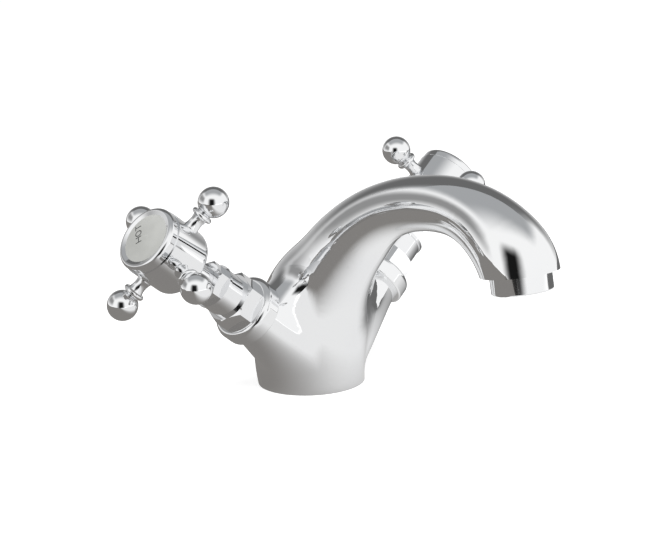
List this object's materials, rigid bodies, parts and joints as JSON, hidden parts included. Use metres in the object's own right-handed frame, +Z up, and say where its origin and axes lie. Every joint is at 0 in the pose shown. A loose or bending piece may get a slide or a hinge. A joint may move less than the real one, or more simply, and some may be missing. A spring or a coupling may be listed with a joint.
{
  "type": "basin mixer tap",
  "caption": "Deck-mounted basin mixer with a swan-neck cast spout, screw-in aerator and angled valves turned by cross handles with ball-ended arms and domed hot and cold indices.",
  "frame": {"origin": "mouth of the fixing stud hole, at the centre of the base on the deck", "axes": "+Z up, spout towards -Y, hot handle at -X and cold handle at +X"},
  "size_m": [0.2169, 0.1755, 0.1065],
  "materials": {
    "chrome": "polished",
    "porcelain": "glazed",
    "ceramic_disc": "lapped",
    "rubber": "matte",
    "plastic": "moulded",
    "steel": "plain"
  },
  "bodies": {
    "mixer": {"mixer_body": "chrome", "base_seal": "rubber", "aerator_housing": "chrome", "aerator_screen": "steel", "aerator_insert": "plastic", "aerator_washer": "rubber", "hot_valve_collar": "chrome", "hot_valve_body": "chrome", "hot_gland_packing": "rubber", "hot_gland_nut": "chrome", "hot_fixed_disc": "ceramic_disc", "hot_seat_washer": "rubber", "cold_valve_collar": "chrome", "cold_valve_body": "chrome", "cold_gland_packing": "rubber", "cold_gland_nut": "chrome", "cold_fixed_disc": "ceramic_disc", "cold_seat_washer": "rubber"},
    "hot_handle": {"hot_spindle": "chrome", "hot_spindle_ring": "rubber", "hot_turning_disc": "ceramic_disc", "hot_handle_hub": "chrome", "hot_handle_bezel": "chrome", "hot_index_disc": "porcelain", "hot_handle_screw": "steel", "hot_handle_arm_1": "chrome", "hot_handle_arm_2": "chrome", "hot_handle_arm_3": "chrome", "hot_handle_arm_4": "chrome"},
    "cold_handle": {"cold_spindle": "chrome", "cold_spindle_ring": "rubber", "cold_turning_disc": "ceramic_disc", "cold_handle_hub": "chrome", "cold_handle_bezel": "chrome", "cold_index_disc": "porcelain", "cold_handle_screw": "steel", "cold_handle_arm_1": "chrome", "cold_handle_arm_2": "chrome", "cold_handle_arm_3": "chrome", "cold_handle_arm_4": "chrome"}
  },
  "joints": [
    {"name": "hot_handle_turn", "type": "hinge", "parent": "mixer", "child": "hot_handle", "pos_m": [-0.08464, -0.004, 0.077], "axis": [-0.7859, 0, 0.6184], "range_deg": [0, 90]},
    {"name": "cold_handle_turn", "type": "hinge", "parent": "mixer", "child": "cold_handle", "pos_m": [0.08464, -0.004, 0.077], "axis": [0.7859, 0, 0.6184], "range_deg": [-90, 0]}
  ]
}
